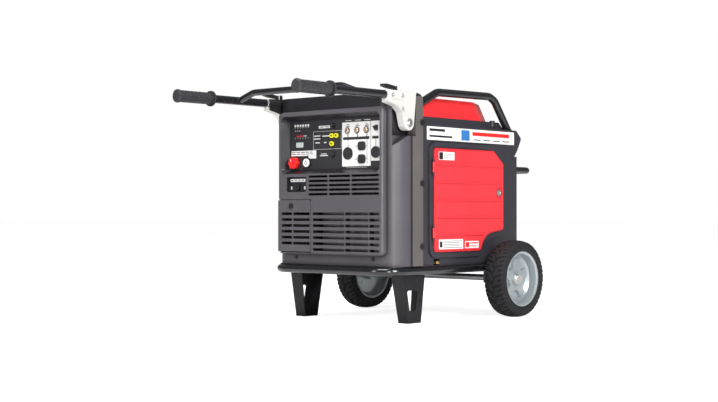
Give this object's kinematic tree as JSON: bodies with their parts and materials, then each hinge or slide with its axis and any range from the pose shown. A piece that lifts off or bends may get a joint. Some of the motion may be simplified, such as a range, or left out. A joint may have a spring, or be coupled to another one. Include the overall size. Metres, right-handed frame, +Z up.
{
  "type": "inverter generator",
  "caption": "Portable enclosed inverter generator on two rear wheels and two front legs, with folding lifting handle, control panel, side service door and top fuel tank.",
  "frame": {"origin": "on the floor under the centre of the overall box", "axes": "+X to the right-hand side seen from the control panel, +Y to the rear, +Z up"},
  "size_m": [0.7, 1.198, 0.7198],
  "materials": {
    "gloss_black_paint": "gloss black tube paint",
    "cover_grey": "satin charcoal moulding",
    "band_black": "satin black moulding",
    "panel_black": "satin black sheet",
    "deep_red": "gloss red moulding",
    "tank_red": "gloss red paint",
    "cast_silver": "fine cast",
    "steel": "plated",
    "tyre_rubber": "matt rubber",
    "grip_rubber": "ribbed rubber",
    "rim_silver": "silver-grey paint",
    "leg_black": "satin black paint",
    "board_black": "matt board",
    "plate_white": "pale plate",
    "outlet_black": "moulded outlet",
    "jack_yellow": "yellow rings",
    "display_window": "read-out window",
    "knob_red": "red knob",
    "button_white": "white button",
    "copper_button": "coppery button",
    "key_black": "switch keys",
    "bolt_steel": "bright fasteners",
    "cap_black": "fuel cap",
    "gauge_glass": "gauge window",
    "engine_metal": "cast engine",
    "rotor_steel": "laminated steel",
    "fan_plastic": "moulded fan",
    "muffler_steel": "heat-resistant coat",
    "cleaner_black": "air cleaner case",
    "inverter_alloy": "finned block",
    "battery_case": "battery case",
    "valve_brass": "brass valve"
  },
  "bodies": {
    "machine": {"base_frame": "gloss_black_paint", "right_leg": "leg_black", "left_leg": "leg_black", "axle": "steel", "axle_nuts": "bolt_steel", "base_pan": "panel_black", "front_cover": "cover_grey", "control_board": "board_black", "outlet_plate": "plate_white", "receptacles": "outlet_black", "parallel_jacks": "jack_yellow", "display": "display_window", "front_frame": "band_black", "cover_screws": "key_black", "pivot_bolts": "bolt_steel", "right_side_panel": "panel_black", "left_side_panel": "panel_black", "rear_cover": "panel_black", "top_cover": "panel_black", "fuel_tank": "tank_red", "fuel_gauge": "gauge_glass", "right_top_pipe": "gloss_black_paint", "left_top_pipe": "gloss_black_paint", "rear_bar": "gloss_black_paint", "engine_block": "engine_metal", "stator": "rotor_steel", "muffler": "muffler_steel", "air_cleaner": "cleaner_black", "inverter_unit": "inverter_alloy", "battery": "battery_case", "drain_valve": "valve_brass"},
    "handle": {"handle_tubes": "gloss_black_paint", "right_handle_bracket": "cast_silver", "left_handle_bracket": "cast_silver", "handle_grips": "grip_rubber", "clamp_bolts": "bolt_steel"},
    "right_lever": {"right_lock_lever": "key_black"},
    "left_lever": {"left_lock_lever": "key_black"},
    "right_wheel": {"right_tyre": "tyre_rubber", "right_rim": "rim_silver"},
    "left_wheel": {"left_tyre": "tyre_rubber", "left_rim": "rim_silver"},
    "door": {"maintenance_cover": "deep_red"},
    "door_lock": {"cover_lock": "bolt_steel"},
    "cap": {"fuel_cap": "cap_black"},
    "knob": {"engine_switch_knob": "knob_red"},
    "start_key": {"start_button": "button_white"},
    "breaker_key_a": {"breaker_a": "copper_button"},
    "breaker_key_b": {"breaker_b": "copper_button"},
    "breaker_key_c": {"breaker_c": "copper_button"},
    "eco_key": {"eco_switch": "key_black"},
    "voltage_key": {"voltage_switch": "key_black"},
    "toggle_key": {"toggle_breaker": "key_black"},
    "slide_key": {"slide_switch": "key_black"},
    "hatch": {"battery_cover": "cover_grey"},
    "hatch_screw": {"battery_cover_screw": "key_black"},
    "valve_lever": {"drain_lever": "valve_brass"},
    "crank": {"crank_rotor": "rotor_steel", "cooling_fan": "fan_plastic"}
  },
  "joints": [
    {"name": "handle_fold", "type": "hinge", "parent": "machine", "child": "handle", "pos_m": [0, -0.13, 0.598], "axis": [1, 0, 0], "range_deg": [0, 90]},
    {"name": "right_lever_lift", "type": "hinge", "parent": "handle", "child": "right_lever", "pos_m": [0.245, -0.172, 0.698], "axis": [-1, 0, 0], "range_deg": [0, 20]},
    {"name": "left_lever_lift", "type": "hinge", "parent": "handle", "child": "left_lever", "pos_m": [-0.245, -0.172, 0.698], "axis": [-1, 0, 0], "range_deg": [0, 20]},
    {"name": "right_wheel_spin", "type": "hinge", "parent": "machine", "child": "right_wheel", "pos_m": [0.314, 0.3294, 0.122], "axis": [1, 0, 0], "continuous": true},
    {"name": "left_wheel_spin", "type": "hinge", "parent": "machine", "child": "left_wheel", "pos_m": [-0.314, 0.3294, 0.122], "axis": [1, 0, 0], "continuous": true},
    {"name": "door_swing", "type": "hinge", "parent": "machine", "child": "door", "pos_m": [0.253, -0.008, 0.37], "axis": [0, 0, -1], "range_deg": [0, 100]},
    {"name": "door_lock_turn", "type": "hinge", "parent": "door", "child": "door_lock", "pos_m": [0.25, 0.331, 0.395], "axis": [1, 0, 0], "range_deg": [0, 90]},
    {"name": "fuel_cap_turn", "type": "hinge", "parent": "machine", "child": "cap", "pos_m": [0, 0.19, 0.69], "axis": [0, 0, 1], "range_deg": [0, 90]},
    {"name": "engine_switch_turn", "type": "hinge", "parent": "machine", "child": "knob", "pos_m": [-0.167, -0.175, 0.487], "axis": [0, 1, 0], "range_deg": [0, 90]},
    {"name": "start_button_press", "type": "slide", "parent": "machine", "child": "start_key", "axis": [0, 1, 0], "range_m": [0, 0.003], "stiffness_N_per_m": 300, "springref_m": -0.001},
    {"name": "breaker_a_press", "type": "slide", "parent": "machine", "child": "breaker_key_a", "axis": [0, 1, 0], "range_m": [0, 0.003], "stiffness_N_per_m": 300, "springref_m": -0.001},
    {"name": "breaker_b_press", "type": "slide", "parent": "machine", "child": "breaker_key_b", "axis": [0, 1, 0], "range_m": [0, 0.003], "stiffness_N_per_m": 300, "springref_m": -0.001},
    {"name": "breaker_c_press", "type": "slide", "parent": "machine", "child": "breaker_key_c", "axis": [0, 1, 0], "range_m": [0, 0.003], "stiffness_N_per_m": 300, "springref_m": -0.001},
    {"name": "eco_switch_rock", "type": "hinge", "parent": "machine", "child": "eco_key", "pos_m": [-0.006, -0.175, 0.597], "axis": [1, 0, 0], "range_deg": [0, 20]},
    {"name": "voltage_switch_rock", "type": "hinge", "parent": "machine", "child": "voltage_key", "pos_m": [-0.005, -0.175, 0.509], "axis": [1, 0, 0], "range_deg": [0, 20]},
    {"name": "toggle_breaker_flip", "type": "hinge", "parent": "machine", "child": "toggle_key", "pos_m": [0.17, -0.175, 0.585], "axis": [1, 0, 0], "range_deg": [0, 20]},
    {"name": "slide_switch_flip", "type": "hinge", "parent": "machine", "child": "slide_key", "pos_m": [-0.136, -0.191, 0.41], "axis": [1, 0, 0], "range_deg": [0, 20]},
    {"name": "battery_cover_tip", "type": "hinge", "parent": "machine", "child": "hatch", "pos_m": [-0.145, -0.1995, 0.2135], "axis": [1, 0, 0], "range_deg": [0, 45]},
    {"name": "battery_screw_turn", "type": "hinge", "parent": "hatch", "child": "hatch_screw", "pos_m": [-0.1586, -0.2, 0.3525], "axis": [0, 1, 0], "range_deg": [0, 90]},
    {"name": "drain_lever_turn", "type": "hinge", "parent": "machine", "child": "valve_lever", "pos_m": [0.248, 0.015, 0.18], "axis": [1, 0, 0], "range_deg": [0, 90]},
    {"name": "crank_spin", "type": "hinge", "parent": "machine", "child": "crank", "pos_m": [0, 0.15, 0.3], "axis": [0, 1, 0], "continuous": true}
  ]
}
